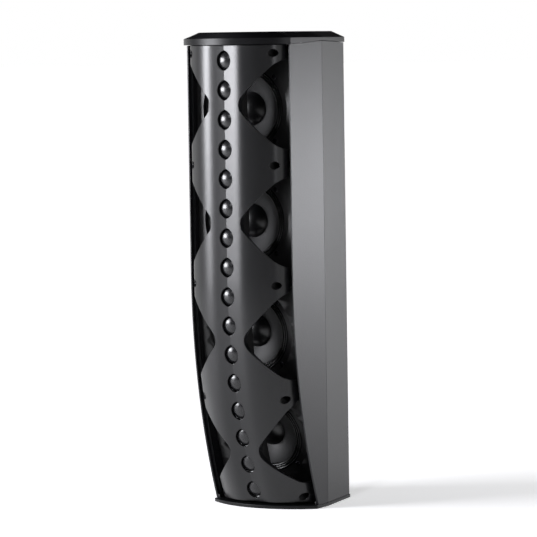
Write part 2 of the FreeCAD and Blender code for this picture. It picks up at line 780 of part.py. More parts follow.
def tap_knob():
    _, (kx, kz), _ = panel_features()
    front = panel_back + panel_thickness
    cap = Part.makeCylinder(knob_radius, 9, Vec(kx, front + 1.0, kz), Vec(0, 1, 0))
    cap = cap.makeChamfer(1.0, [e for e in cap.Edges if abs(e.CenterOfMass.y - front - 10) < 0.1])
    shaft = Part.makeCylinder(3.0, 14, Vec(kx, front - 10, kz), Vec(0, 1, 0))
    slot = box(kx - 1.0, kx + 1.0, front + 8.2, front + 12, kz - 0.5, kz + knob_radius - 1.5)
    grips = []
    for i in range(12):
        angle = math.radians(30 * i + 15)
        x = kx + (knob_radius + 0.4) * math.cos(angle)
        z = kz + (knob_radius + 0.4) * math.sin(angle)
        grips.append(Part.makeCylinder(1.1, 12, Vec(x, front + 2.4, z), Vec(0, 1, 0)))
    return cap.fuse(shaft).cut([slot] + grips)


def voicing_slider():
    _, _, (sx, sz) = panel_features()
    front = panel_back + panel_thickness
    lever = box(sx - 2.0, sx + 2.0, panel_back - 2.0, front + 4.0, sz - 2.4, sz + 2.4)
    base = box(sx - 3.6, sx + 3.6, panel_back - 3.6, panel_back - 0.5, sz - 4.0, sz + 4.0)
    return lever.fuse(base)


board_thickness = 1.6
board_rear = panel_back - post_length


def crossover_board():
    z0, z1 = panel_zone()
    half = panel_width / 2 - 5
    board = box(-half, half, board_rear - board_thickness, board_rear, z0 + 5, z1 - 5)
    for x, z in post_points():
        board = board.cut(Part.makeCylinder(1.5, 6, Vec(x, board_rear - 4, z), Vec(0, 1, 0)))
    return board


def crossover_parts():
    """Coils and capacitors on the board and the line transformer above it on the rear wall."""
    z0, z1 = panel_zone()
    middle = (z0 + z1) / 2
    face = board_rear - board_thickness
    solids = []
    for x, z, outer, inner, thick in ((-22, middle + 24, 17, 6, 14), (20, middle + 24, 13, 5, 12)):
        coil = Part.makeCylinder(outer, thick, Vec(x, face - thick, z), Vec(0, 1, 0))
        core = Part.makeCylinder(inner, thick + 2, Vec(x, face - thick - 1, z), Vec(0, 1, 0))
        solids.append(coil.cut(core))
    for x, z in ((-26, middle - 8), (2, middle - 8), (-26, middle - 32), (2, middle - 32)):
        solids.append(Part.makeCylinder(7, 22, Vec(x - 11, face - 7, z), Vec(1, 0, 0)))
    solids.append(box(22, 38, face - 9, face, middle - 40, middle - 4))
    base = z1 + 22
    wall_face = rear_y - wall
    core = box(-30, 30, wall_face - 24, wall_face, base, base + 50)
    core = core.cut([box(-19, -10, wall_face - 30, wall_face + 2, base + 9, base + 41),
                     box(10, 19, wall_face - 30, wall_face + 2, base + 9, base + 41)])
    winding = box(-18.7, 18.7, wall_face - 33, wall_face - 24.2, base + 9.3, base + 40.7)
    solids.append(core)
    solids.append(winding)
    return together(solids)


def bracket_inserts():
    solids = []
    for x, z in bracket_points():
        outer = Part.makeCylinder(4.5, insert_length - 0.5, Vec(x, rear_y - insert_length, z), Vec(0, 1, 0))
        start = Vec(x, rear_y - insert_length - 2, z)
        bore = Part.makeCylinder(insert_bore_radius, insert_length + 4, start, Vec(0, 1, 0))
        solids.append(outer.cut(bore))
    return together(solids)


save("front_shell", front_shell())
save("rear_shell", rear_shell())
save("top_cap", top_cap())
save("bottom_cap", bottom_cap())
save("fascia", fascia())
save("tweeter_spine", tweeter_spine())
save("baffle", baffle())
save("fascia_screws", fascia_screws())
save("woofer_screws", woofer_screws())

save("tweeter_bodies", together([placed(tweeter_body(), station(d)) for d in tweeter_stations()]))
for number, distance in enumerate(tweeter_stations(), 1):
    save("tweeter_dome_%02d" % number, placed(tweeter_dome(), station(distance)))

save("woofer_spiders", together([placed(spider(), station(d)) for d in woofer_stations()]))
for number, distance in enumerate(woofer_stations(), 1):
    place = station(distance)
    save("woofer_frame_%d" % number, placed(woofer_frame(), place))
    save("woofer_surround_%d" % number, placed(woofer_surround(), place))
    save("woofer_cone_%d" % number, placed(woofer_cone(), place))
    save("dust_cap_%d" % number, placed(dust_cap(), place))
    save("voice_coil_%d" % number, placed(voice_coil(), place))
    save("woofer_magnet_%d" % number, placed(magnet(), place))

save("input_panel", input_panel())
save("panel_screws", panel_screws())
save("terminal_socket", terminal_socket())
save("terminal_plug", terminal_plug())
save("tap_knob", tap_knob())
save("voicing_slider", voicing_slider())
save("crossover_board", crossover_board())
save("crossover_parts", crossover_parts())
save("bracket_inserts", bracket_inserts())
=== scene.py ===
import math

import bmesh
import bpy
import numpy as np
from mathutils import Matrix, Vector
from mathutils.geometry import delaunay_2d_cdt


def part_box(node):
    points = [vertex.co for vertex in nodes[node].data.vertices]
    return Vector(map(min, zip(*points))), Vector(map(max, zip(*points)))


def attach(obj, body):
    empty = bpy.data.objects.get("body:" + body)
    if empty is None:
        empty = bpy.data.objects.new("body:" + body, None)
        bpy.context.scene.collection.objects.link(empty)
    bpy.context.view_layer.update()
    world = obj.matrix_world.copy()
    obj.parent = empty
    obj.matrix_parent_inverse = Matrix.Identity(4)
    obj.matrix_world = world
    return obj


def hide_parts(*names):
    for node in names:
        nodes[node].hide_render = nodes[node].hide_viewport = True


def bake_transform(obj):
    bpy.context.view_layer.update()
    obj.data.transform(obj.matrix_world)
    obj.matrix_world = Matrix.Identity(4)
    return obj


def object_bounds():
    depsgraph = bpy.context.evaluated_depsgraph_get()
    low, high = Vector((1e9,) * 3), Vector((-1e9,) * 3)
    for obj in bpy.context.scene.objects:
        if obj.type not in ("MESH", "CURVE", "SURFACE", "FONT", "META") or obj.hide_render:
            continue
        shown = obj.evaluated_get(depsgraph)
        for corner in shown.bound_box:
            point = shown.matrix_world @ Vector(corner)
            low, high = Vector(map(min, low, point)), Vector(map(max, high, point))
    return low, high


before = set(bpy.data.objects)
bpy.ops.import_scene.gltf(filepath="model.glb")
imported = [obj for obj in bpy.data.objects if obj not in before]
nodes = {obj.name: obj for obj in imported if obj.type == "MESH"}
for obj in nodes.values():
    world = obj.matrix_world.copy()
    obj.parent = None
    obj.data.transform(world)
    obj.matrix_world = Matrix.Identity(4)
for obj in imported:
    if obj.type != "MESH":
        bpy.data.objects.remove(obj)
cadLow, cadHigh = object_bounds()
mm = 0.001
print("frame loaded:", len(nodes), "nodes")


# materials

def hexColour(text):
    parts = [int(text[i:i + 2], 16) / 255 for i in (1, 3, 5)]
    linear = [p / 12.92 if p <= 0.04045 else ((p + 0.055) / 1.055) ** 2.4 for p in parts]
    return (*linear, 1.0)


def addNode(tree, kind, settings=None, links=None):
    node = tree.nodes.new(kind)
    for name, value in (settings or {}).items():
        if name in node.bl_rna.properties:
            setattr(node, name, value)
        else:
            node.inputs[name].default_value = value
    for name, source in (links or {}).items():
        tree.links.new(source, node.inputs[name])
    return node


def newMaterial(name):
    made = bpy.data.materials.new(name)
    made.use_nodes = True
    made.node_tree.nodes.clear()
    return made, made.node_tree


def finishMaterial(tree, settings, links):
    shader = addNode(tree, "ShaderNodeBsdfPrincipled", settings, links)
    output = addNode(tree, "ShaderNodeOutputMaterial")
    tree.links.new(shader.outputs["BSDF"], output.inputs["Surface"])


def grainedMaterial(name, low, high, roughness, grain, height, metallic=0.0, ior=1.5, spread=0.06):
    # two close shades over a fine noise, with the same noise as bump; grain and height in mm
    made, tree = newMaterial(name)
    place = addNode(tree, "ShaderNodeTexCoord")
    noise = addNode(tree, "ShaderNodeTexNoise", {"Scale": 1 / (grain * mm), "Detail": 2.0, "Roughness": 0.6},
                    {"Vector": place.outputs["Object"]})
    shade = addNode(tree, "ShaderNodeMix", {"data_type": "RGBA"}, {"Factor": noise.outputs["Fac"]})
    shade.inputs[6].default_value = hexColour(low)
    shade.inputs[7].default_value = hexColour(high)
    gloss = addNode(tree, "ShaderNodeMapRange", {"To Min": roughness - spread, "To Max": roughness + spread},
                    {"Value": noise.outputs["Fac"]})
    bump = addNode(tree, "ShaderNodeBump", {"Strength": 1.0, "Distance": height * mm}, {"Height": noise.outputs["Fac"]})
    finishMaterial(tree, {"Metallic": metallic, "IOR": ior},
                   {"Base Color": shade.outputs[2], "Roughness": gloss.outputs["Result"],
                    "Normal": bump.outputs["Normal"]})
    return made


finishes = {
    # ABS walls, textured mould: broad soft sheen with a fine sparkle
    "texturedAbsWalls": dict(low="#0c0c0e", high="#19191c", roughness=0.38, grain=2.0, height=0.15, ior=1.36),
    # ABS caps, finer texture: a shade darker than the walls
    "satinAbsCaps": dict(low="#0a0a0b", high="#101012", roughness=0.36, grain=1.2, height=0.03, ior=1.26),
    # ABS fascia, satin mould: tight bright bands along its creases
    "satinAbsFascia": dict(low="#0a0a0b", high="#121214", roughness=0.33, grain=1.8, height=0.10, ior=1.45),
    # ABS chamber behind the tweeters: dull and near black
    "mattAbsChamber": dict(low="#050505", high="#090909", roughness=0.55, grain=0.8, height=0.01),
    # painted fibreboard: dark with a soft streak of light at a low angle
    "paintedFibreboard": dict(low="#070708", high="#0b0b0c", roughness=0.36, grain=1.6, height=0.02),
    # die-cast aluminium under black stove enamel
    "enamelledCasting": dict(low="#080808", high="#0c0c0d", roughness=0.34, grain=1.2, height=0.015),
    # carbon steel, black oxide: dark metal with an oily sheen
    "blackOxideSteel": dict(low="#1a1a1b", high="#26262a", roughness=0.36, grain=0.5, height=0.003, metallic=1.0),
    # butyl rubber roll, moulded smooth: black with thin white glints
    "butylRubber": dict(low="#060606", high="#090909", roughness=0.22, grain=0.7, height=0.004),
    # coated paper pulp: dark grey, soft, slightly fibrous
    "coatedPaperCone": dict(low="#070708", high="#0d0d0e", roughness=0.55, grain=1.3, height=0.05, ior=1.36),
    # polypropylene dust cap: black with a round soft glint
    "polypropyleneCap": dict(low="#060607", high="#0a0a0b", roughness=0.30, grain=0.8, height=0.004),
    # copper-clad wire on its former
    "copperWinding": dict(low="#8a4a26", high="#b8683a", roughness=0.34, grain=0.4, height=0.02, metallic=1.0),
    # low-carbon steel, zinc plated
    "zincPlatedSteel": dict(low="#8f9397", high="#b0b4b8", roughness=0.32, grain=0.8, height=0.004, metallic=1.0),
    # coated polyester film dome: satin black with one soft glint
    "polyesterFilmDome": dict(low="#0f0f11", high="#141416", roughness=0.27, grain=0.9, height=0.003, spread=0.03),
    # phenolic-impregnated cotton
    "impregnatedCotton": dict(low="#6b5530", high="#8f7440", roughness=0.80, grain=0.6, height=0.05),
    # ABS rear panel, fine texture
    "mattAbsPanel": dict(low="#0b0b0c", high="#101012", roughness=0.50, grain=0.7, height=0.012),
    # green polyamide terminal blocks
    "greenPolyamide": dict(low="#1d5a34", high="#256b3f", roughness=0.42, grain=0.7, height=0.008),
    # ABS knob and slider, satin
    "satinAbsKnob": dict(low="#0e0e0f", high="#141416", roughness=0.38, grain=0.6, height=0.006),
    # glass-epoxy board under solder mask
    "solderMaskBoard": dict(low="#0c3a1c", high="#12502a", roughness=0.35, grain=0.9, height=0.006),
    # wound parts, dipped in dark lacquer
    "lacqueredComponents": dict(low="#5b3a20", high="#7d5530", roughness=0.40, grain=0.8, height=0.02),
    # turned brass
    "turnedBrass": dict(low="#a98442", high="#c8a55c", roughness=0.28, grain=0.5, height=0.004, metallic=1.0),
}
material = {name: grainedMaterial(name, **values) for name, values in finishes.items()}
print("materials:", len(material))


# mesh helpers, all lengths in mm until the mesh is written

def keepPiece(name, mesh, finish, body, replaced=()):
    obj = bpy.data.objects.new(name, mesh)
    bpy.context.scene.collection.objects.link(obj)
    mesh.materials.clear()
    mesh.materials.append(material[finish])
    if replaced:
        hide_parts(*replaced)
    if body:
        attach(obj, body)
    return obj


def tidyMesh(name, points, faces, sharpAngle=35.0):
    mesh = bpy.data.meshes.new(name)
    mesh.from_pydata([tuple(p) for p in points], [], faces)
    work = bmesh.new()
    work.from_mesh(mesh)
    bmesh.ops.remove_doubles(work, verts=work.verts, dist=1e-6)
    bmesh.ops.recalc_face_normals(work, faces=work.faces)
    work.to_mesh(mesh)
    work.free()
    mesh.shade_smooth()
    mesh.set_sharp_from_angle(angle=math.radians(sharpAngle))
    return mesh


def turnedMesh(name, profile, place, turns=96, sharpAngle=35.0, cutAway=None):
    # closed (radius, depth) outline spun round the local Y axis; cutAway(angle, radius) may reshape a ring
    points, rings, faces = [], [], []
    for radius, depth in profile:
        if radius < 1e-6:
            rings.append([len(points)] * turns)
            points.append((0.0, depth, 0.0))
            continue
        rings.append(list(range(len(points), len(points) + turns)))
        for i in range(turns):
            angle = 2 * math.pi * i / turns
            r = cutAway(angle, radius) if cutAway else radius
            points.append((r * math.cos(angle), depth, r * math.sin(angle)))
    for a, b in zip(rings, rings[1:] + rings[:1]):
        for i in range(turns):
            j = (i + 1) % turns
            corners = [a[i], a[j], b[j], b[i]]
            slim = [c for k, c in enumerate(corners) if c != corners[k - 1]]
            if len(slim) > 2:
                faces.append(slim)
    placed = [place @ Vector(Vector(p) * mm) for p in points]
    return tidyMesh(name, placed, faces, sharpAngle)


def arcPoints(startRadius, startDepth, endRadius, endDepth, bulge, count):
    # shallow arc between two (radius, depth) points; bulge is its height at the middle, toward -depth
    result = []
    for i in range(count + 1):
        u = i / count
        lift = bulge * 4 * u * (1 - u)
        result.append((startRadius + u * (endRadius - startRadius), startDepth + u * (endDepth - startDepth) - lift))
    return result


def evenNormals(mesh):
    # corner normals weighted by face area, so that large flats stay flat beside a rolled edge
    holder = bpy.data.objects.new("normals", mesh)
    bpy.context.scene.collection.objects.link(holder)
    modifier = holder.modifiers.new("normals", "WEIGHTED_NORMAL")
    modifier.keep_sharp = True
    cutter = holder.modifiers.new("triangles", "TRIANGULATE")
    cutter.keep_custom_normals = True
    evaluated = holder.evaluated_get(bpy.context.evaluated_depsgraph_get())
    weighted = bpy.data.meshes.new_from_object(evaluated)
    weighted.name = mesh.name
    holder.modifiers.clear()
    bpy.data.objects.remove(holder)
    return weighted


def softCopy(name, node, finish, body, width=0.5, segments=2, minLength=4.0, sharpAngle=32.0):
    # the CAD solid with its long crisp edges rolled over
    mesh = nodes[node].data.copy()
    mesh.name = name
    work = bmesh.new()
    work.from_mesh(mesh)
    bmesh.ops.remove_doubles(work, verts=work.verts, dist=2e-6)
    bmesh.ops.dissolve_limit(work, angle_limit=math.radians(0.2), verts=work.verts, edges=work.edges)
    limit = math.radians(sharpAngle)
    edges = [e for e in work.edges
             if e.is_manifold and e.calc_face_angle(0) > limit and e.calc_length() > minLength * mm]
    if width > 0:
        bmesh.ops.bevel(work, geom=edges, offset=width * mm, offset_type="OFFSET", segments=segments, profile=0.5,
                        affect="EDGES", clamp_overlap=True)
    bmesh.ops.dissolve_degenerate(work, dist=1e-7, edges=work.edges)
    work.to_mesh(mesh)
    work.free()
    mesh.shade_smooth()
    mesh.set_sharp_from_angle(angle=math.radians(max(sharpAngle, 32.0)))
    return keepPiece(name, evenNormals(mesh), finish, body, [node])


def islands(node):
    # the separate solids of one CAD node, as arrays of points in mm
    work = bmesh.new()
    work.from_mesh(nodes[node].data)
    bmesh.ops.remove_doubles(work, verts=work.verts, dist=2e-6)
    seen, groups = set(), []
    for first in work.verts:
        if first in seen:
            continue
        stack, group = [first], []
        seen.add(first)
        while stack:
            v = stack.pop()
            group.append(v.co[:])
            for e in v.link_edges:
                other = e.other_vert(v)
                if other not in seen:
                    seen.add(other)
                    stack.append(other)
        groups.append(np.array(group) / mm)
    work.free()
    return groups


# the front line: straight above the bend, then an arc that leans back

cadHeight = cadHigh.z / mm
line = dict(bendShare=0.4964, endAngle=25.04, capLead=10.3)
lineY = cadLow.y / mm + line["capLead"]
bendZ = line["bendShare"] * cadHeight
lineRadius = bendZ / math.sin(math.radians(line["endAngle"]))
straightLength = cadHeight - bendZ


def lineDistance(y, z):
    # distance down the front line of a point given in mm
    if z >= bendZ:
        return cadHeight - z
    return straightLength + lineRadius * math.atan2(bendZ - z, lineY + lineRadius - y)


def leanAt(distance):
    return np.maximum(0.0, np.asarray(distance, float) - straightLength) / lineRadius


def frontPoint(x, inward, distance):
    lean = leanAt(distance)
    inward = np.asarray(inward, float)
    y = lineY + lineRadius - (lineRadius - inward) * np.cos(lean)
    z = np.where(lean > 0, bendZ - (lineRadius - inward) * np.sin(lean), cadHeight - np.asarray(distance, float))
    return np.stack(np.broadcast_arrays(np.asarray(x, float), y, z), -1)


def stationPlace(distance):
    # matrix in metres: local -Y points out of the front, local Z up along the line
    lean = float(leanAt(distance))
    origin = frontPoint(0.0, 0.0, distance) * mm
    return Matrix.Translation(Vector(origin)) @ Matrix.Rotation(lean, 4, "X")


def nodeStation(node):
    low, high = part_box(node)
    middle = (low + high) / 2 / mm
    return lineDistance(middle.y, middle.z)


tweeterNames = sorted(n for n in nodes if n.startswith("tweeter_dome_"))
tweeterStations = [nodeStation(n) for n in tweeterNames]
wooferNumbers = range(1, 5)
wooferStations = [nodeStation(f"dust_cap_{k}") for k in wooferNumbers]
openingStations = [float(np.mean(tweeterStations[i:i + 4])) for i in range(0, 16, 4)]
fasciaScrews = islands("fascia_screws")
screwStations = sorted({round(lineDistance(*g.mean(0)[1:]), 2) for g in fasciaScrews if g.mean(0)[0] > 0})
screwX = float(np.mean([abs(g.mean(0)[0]) for g in fasciaScrews]))
print("stations:", len(tweeterStations), "tweeters,", len(wooferStations), "woofers,",
      len(screwStations), "screw pairs")


# fascia: one moulded skin with a centre crease, four pairs of openings and the tweeter lenses

fasciaShape = dict(
    section=[(0, 0), (12, -1.1), (24.5, -1.9), (38, 0.9), (52, 7.8), (62, 14.8), (69.3, 21.2), (75.2, 32.0),
             (78.5, 45.0)],
    opening=[(24, 0), (25.6, 7), (31, 14.5), (46, 31.3), (61, 47.8), (69.5, 56.8), (75.5, 62.2), (79.0, 65.6),
             (98, 69.5)],
    skin=3.0, edgeRound=0.7, edgeSteps=4, returnDepth=8.6, returnWidth=2.4, gridStep=2.7, loopStep=1.7,
    lensHalfWidth=11.03, lensHalfHeight=14.25, holeRadius=5.5, bossWall=2.2, bossFloor=48.5, bossBack=55.5)


def naturalSpline(points, count):
    p = np.array(points, float)
    t = np.concatenate([[0.0], np.cumsum(np.linalg.norm(np.diff(p, axis=0), axis=1))])
    h = np.diff(t)
    n = len(p)
    left, right = np.eye(n), np.zeros_like(p)
    for i in range(1, n - 1):
        left[i, i - 1:i + 2] = h[i - 1], 2 * (h[i - 1] + h[i]), h[i]
        right[i] = 6 * ((p[i + 1] - p[i]) / h[i] - (p[i] - p[i - 1]) / h[i - 1])
    bend = np.linalg.solve(left, right)
    s = np.linspace(0, t[-1], count)
    k = np.clip(np.searchsorted(t, s, side="right") - 1, 0, n - 2)
    a, b, w = (s - t[k])[:, None], (t[k + 1] - s)[:, None], h[k][:, None]
    return (bend[k] * b ** 3 + bend[k + 1] * a ** 3) / (6 * w) + (p[k] / w - bend[k] * w / 6) * b + (
        p[k + 1] / w - bend[k + 1] * w / 6) * a


sectionCurve = naturalSpline(fasciaShape["section"], 900)
sectionArc = np.concatenate([[0.0], np.cumsum(np.linalg.norm(np.diff(sectionCurve, axis=0), axis=1))])
sectionTangent = np.gradient(sectionCurve, sectionArc, axis=0)
sectionEnd = sectionArc[-1]


def arcAtX(x):
    return np.sign(x) * np.interp(np.abs(x), sectionCurve[:, 0], sectionArc)


def depthAtX(x):
    return np.interp(np.abs(x), sectionCurve[:, 0], sectionCurve[:, 1])


def skinFrame(u, distance, side=None):
    # place, outward normal, across and down directions of the skin at arc u and distance
    u = np.asarray(u, float)
    side = np.sign(u) if side is None else side
    x = side * np.interp(np.abs(u), sectionArc, sectionCurve[:, 0])
    depth = np.interp(np.abs(u), sectionArc, sectionCurve[:, 1])
    tx = np.interp(np.abs(u), sectionArc, sectionTangent[:, 0])
    ty = np.interp(np.abs(u), sectionArc, sectionTangent[:, 1]) * side
    flat = side == 0
    tx, ty = np.where(flat, 1.0, tx), np.where(flat, 0.0, ty)
    size = np.hypot(tx, ty)
    tx, ty = tx / size, ty / size
    lean = leanAt(distance)
    normal = np.stack([ty, -tx * np.cos(lean), -tx * np.sin(lean)], -1)
    across = np.stack([tx, ty * np.cos(lean), ty * np.sin(lean)], -1)
    down = np.stack([np.zeros_like(tx), np.sin(lean), -np.cos(lean)], -1)
    return frontPoint(x, depth, distance), normal, across, down


def onLine(station, depth, s):
    # distance of a point s above or below a station, square to that station
    if float(leanAt(station)) == 0:
        return station + s
    return station + lineRadius * np.arcsin(s / (lineRadius - depth))


def resampled(points, step):
    p = np.array(points, float)
    t = np.concatenate([[0.0], np.cumsum(np.linalg.norm(np.diff(p, axis=0), axis=1))])
    count = max(2, int(round(t[-1] / step)) + 1)
    s = np.linspace(0, t[-1], count)
    return np.stack([np.interp(s, t, p[:, 0]), np.interp(s, t, p[:, 1])], -1)


def fasciaOutline():
    # closed outline (arc, distance): down the right side, along the foot, up the left side
    step = fasciaShape["loopStep"]
    low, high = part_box("fascia")
    top = cadHeight - high.z / mm
    footZ = low.z / mm
    half = naturalSpline(fasciaShape["opening"], 400)
    run = np.concatenate([half[::-1] * (1, -1), half[1:]])
    edgeX = fasciaShape["section"][-1][0]
    side = []
    last = (sectionEnd, top)
    for station in openingStations:
        inside = run[run[:, 0] <= edgeX]
        u = arcAtX(inside[:, 0])
        d = onLine(station, depthAtX(inside[:, 0]), inside[:, 1])
        u[0] = u[-1] = sectionEnd
        side.append(resampled([last, (u[0], d[0])], step)[:-1])
        side.append(resampled(np.stack([u, d], -1), step)[:-1])
        last = (u[-1], d[-1])

    def footDistance(u):
        depth = np.interp(np.abs(u), sectionArc, sectionCurve[:, 1])
        return straightLength + lineRadius * np.arcsin((bendZ - footZ) / (lineRadius - depth))

    side.append(resampled([last, (sectionEnd, float(footDistance(sectionEnd)))], step)[:-1])
    footU = np.linspace(sectionEnd, 0, int(sectionEnd / step) + 1)
    foot = np.stack([footU, footDistance(footU)], -1)
    right = np.concatenate(side + [foot])
    topU = np.linspace(0, sectionEnd, int(sectionEnd / step) + 1)[:-1]
    head = np.stack([topU, np.full_like(topU, top)], -1)
    right = np.concatenate([head, right])
    left = right[1:-1][::-1] * (-1, 1)
    return np.concatenate([right, left])


def lensLoop(station, count=24):
    w, h = fasciaShape["lensHalfWidth"], fasciaShape["lensHalfHeight"]
    radius = (w * w + h * h) / (2 * w)
    reach = math.asin(h / radius)
    angles = np.linspace(-reach, reach, count + 1)
    right = np.stack([w - radius + radius * np.cos(angles), radius * np.sin(angles)], -1)
    right[0, 0] = right[-1, 0] = 0.0
    loop = np.concatenate([right, (right[1:-1] * (-1, 1))[::-1]])
    return np.stack([arcAtX(loop[:, 0]), onLine(station, depthAtX(loop[:, 0]), loop[:, 1])], -1)


def holeLoop(station, side, count=40):
    angles = np.linspace(0, 2 * math.pi, count, endpoint=False)
    r = fasciaShape["holeRadius"]
    x = side * screwX + r * np.cos(angles)
    return np.stack([arcAtX(x), onLine(station, depthAtX(x), r * np.sin(angles))], -1)


def insideLoop(points, loop):
    x, y = points[:, 0], points[:, 1]
    hit = np.zeros(len(points), bool)
    for (x0, y0), (x1, y1) in zip(loop, np.roll(loop, -1, axis=0)):
        if y0 == y1:
            continue
        cross = (y0 > y) != (y1 > y)
        hit ^= cross & (x < (x1 - x0) * (y - y0) / (y1 - y0) + x0)
    return hit


def inwardDirections(loop, isHole):
    # unit directions in the (arc, distance) plane, from each loop point into the material, stretched at corners
    ahead = np.roll(loop, -1, axis=0) - loop
    behind = loop - np.roll(loop, 1, axis=0)
    ahead /= np.linalg.norm(ahead, axis=1)[:, None]
    behind /= np.linalg.norm(behind, axis=1)[:, None]
    tangent = ahead + behind
    tangent /= np.linalg.norm(tangent, axis=1)[:, None]
    normal = np.stack([-tangent[:, 1], tangent[:, 0]], -1)
    area = 0.5 * np.sum(loop[:, 0] * np.roll(loop[:, 1], -1) - np.roll(loop[:, 0], -1) * loop[:, 1])
    if (area < 0) != isHole:
        normal = -normal
    stretch = 1 / np.clip(np.sum(tangent * ahead, axis=1), 0.65, 1.0)
    return normal, stretch


def skinSheet(loops, step):
    # triangles between the loops: first one outside, the others holes, with an edge chain along the crease
    outline = loops[0]
    verts = [tuple(p) for loop in loops for p in loop]
    edges, first = [], 0
    for loop in loops:
        n = len(loop)
        edges += [(first + i, first + (i + 1) % n) for i in range(n)]
        first += n
    onCrease = sorted((v[1], i) for i, v in enumerate(verts) if abs(v[0]) < 1e-6)
    for (d0, i0), (d1, i1) in zip(onCrease[::2], onCrease[1::2]):
        count = max(1, int((d1 - d0) / step))
        chain = [i0]
        for k in range(1, count):
            chain.append(len(verts))
            verts.append((0.0, d0 + (d1 - d0) * k / count))
        chain.append(i1)
        edges += list(zip(chain, chain[1:]))
    reach = int(sectionEnd / step)
    us = np.concatenate([np.arange(1, reach + 1), -np.arange(1, reach + 1)]) * step
    ds = np.arange(outline[:, 1].min(), outline[:, 1].max(), step)
    grid = np.stack(np.meshgrid(us, ds), -1).reshape(-1, 2)
    keep = insideLoop(grid, outline)
    for loop in loops[1:]:
        keep &= ~insideLoop(grid, loop)
    border = np.array(verts)
    grid = grid[keep]
    far = np.array([np.min((border[:, 0] - u) ** 2 + (border[:, 1] - d) ** 2) > (0.55 * step) ** 2 for u, d in grid])
    inputs = [Vector(v) for v in verts] + [Vector(g) for g in grid[far]]
    points, _, faces, origins, _, _ = delaunay_2d_cdt(inputs, edges, [], 0, 1e-6)
    points = np.array([tuple(p) for p in points])
    faces = np.array([tuple(f) for f in faces])
    centres = points[faces].mean(1)
    keep = insideLoop(centres, outline)
    for loop in loops[1:]:
        keep &= ~insideLoop(centres, loop)
    where = {source: made for made, sources in enumerate(origins) for source in sources}
    loopIndices, first = [], 0
    for loop in loops:
        loopIndices.append([where[first + i] for i in range(len(loop))])
        first += len(loop)
    return points, faces[keep], loopIndices


def buildFascia():
    shape = fasciaShape
    loops = [fasciaOutline()]
    loops += [lensLoop(s) for s in tweeterStations]
    loops += [holeLoop(s, side) for s in screwStations for side in (-1, 1)]
    directions = [inwardDirections(loop, i > 0) for i, loop in enumerate(loops)]
    x = np.abs(skinFrame(loops[0][:, 0], loops[0][:, 1])[0][:, 0])
    top, foot = loops[0][:, 1].min(), loops[0][:, 1].max()
    ends = (loops[0][:, 1] < top + 0.01) | (x < 20)
    lip = np.clip((70 - x) / 14, 0.0, 1.0) * ~ends
    lip = np.convolve(np.concatenate([lip[-4:], lip, lip[:4]]), np.ones(9) / 9, "valid")
    roundness, skin = shape["edgeRound"], shape["skin"]
    points, faces, normals = [], [], []

    def addSheet(sheetLoops, offset):
        flat, triangles, indices = skinSheet(sheetLoops, shape["gridStep"])
        place, normal, _, _ = skinFrame(flat[:, 0], flat[:, 1])
        first = len(points)
        points.extend(place - normal * offset)
        sides = np.sign(flat[triangles][:, :, 0].mean(1))
        sign = 1 if offset == 0 else -1
        for triangle, side in zip(triangles, sides):
            corner = skinFrame(flat[triangle, 0], flat[triangle, 1], np.full(3, side))[1] * sign
            faces.append([first + i for i in triangle])
            normals.append(corner)
        return [[first + i for i in row] for row in indices]

    outer = addSheet([l + d * (s * roundness)[:, None] for l, (d, s) in zip(loops, directions)], 0.0)
    innerLoops = []
    for i, (loop, (direction, stretch)) in enumerate(zip(loops, directions)):
        reach = 0.5 + lip * shape["returnWidth"] if i == 0 else np.zeros(len(loop))
        innerLoops.append(loop + direction * (stretch * reach)[:, None])
    inner = addSheet(innerLoops, skin)

    def strip(a, b, normalA, normalB):
        n = len(a)
        for i in range(n):
            j = (i + 1) % n
            faces.append([a[i], a[j], b[j], b[i]])
            normals.append(np.array([normalA[i], normalA[j], normalB[j], normalB[i]]))

    for i, (loop, (direction, stretch)) in enumerate(zip(loops, directions)):
        place, normal, across, down = skinFrame(loop[:, 0], loop[:, 1])
        into = across * direction[:, :1] + down * direction[:, 1:]
        wide = into * stretch[:, None]
        rows, tilts = [outer[i]], [normal]
        for k in range(1, shape["edgeSteps"] + 1):
            a = math.pi / 2 * k / shape["edgeSteps"]
            moved = place + wide * (roundness * (1 - math.sin(a))) - normal * (roundness * (1 - math.cos(a)))
            rows.append(list(range(len(points), len(points) + len(loop))))
            points.extend(moved)
            tilts.append(normal * math.cos(a) - into * math.sin(a))
        for a in range(len(rows) - 1):
            strip(rows[a], rows[a + 1], tilts[a], tilts[a + 1])
        if i > 0:
            strip(rows[-1], inner[i], -into, -into)
            continue
        depth = skin + 0.6 + lip * (shape["returnDepth"] - skin)
        wallEnd = list(range(len(points), len(points) + len(loop)))
        points.extend(place - normal * depth[:, None])
        backEnd = list(range(len(points), len(points) + len(loop)))
        reach = 0.5 + lip * shape["returnWidth"]
        points.extend(place - normal * depth[:, None] + wide * reach[:, None])
        strip(rows[-1], wallEnd, -into, -into)
        strip(wallEnd, backEnd, -normal, -normal)
        strip(backEnd, inner[i], into, into)
    points = np.array(points)
    ordered, cornerNormals = [], []
    for face, corner in zip(faces, normals):
        p = points[face]
        geometric = np.cross(p[1] - p[0], p[2] - p[0])
        if len(face) == 4:
            geometric = geometric + np.cross(p[2] - p[0], p[3] - p[0])
        if np.dot(geometric, corner.mean(0)) < 0:
            face, corner = face[::-1], corner[::-1]
        ordered.append(face)
        cornerNormals.extend(corner)
    mesh = bpy.data.meshes.new("fascia_skin")
    mesh.from_pydata([tuple(p) for p in points * mm], [], ordered)
    mesh.shade_smooth()
    cornerNormals = np.array(cornerNormals)
    cornerNormals /= np.linalg.norm(cornerNormals, axis=1)[:, None]
    mesh.normals_split_custom_set([tuple(n) for n in cornerNormals])
    return keepPiece("fascia_skin", mesh, "satinAbsFascia", "cabinet", ["fascia"])


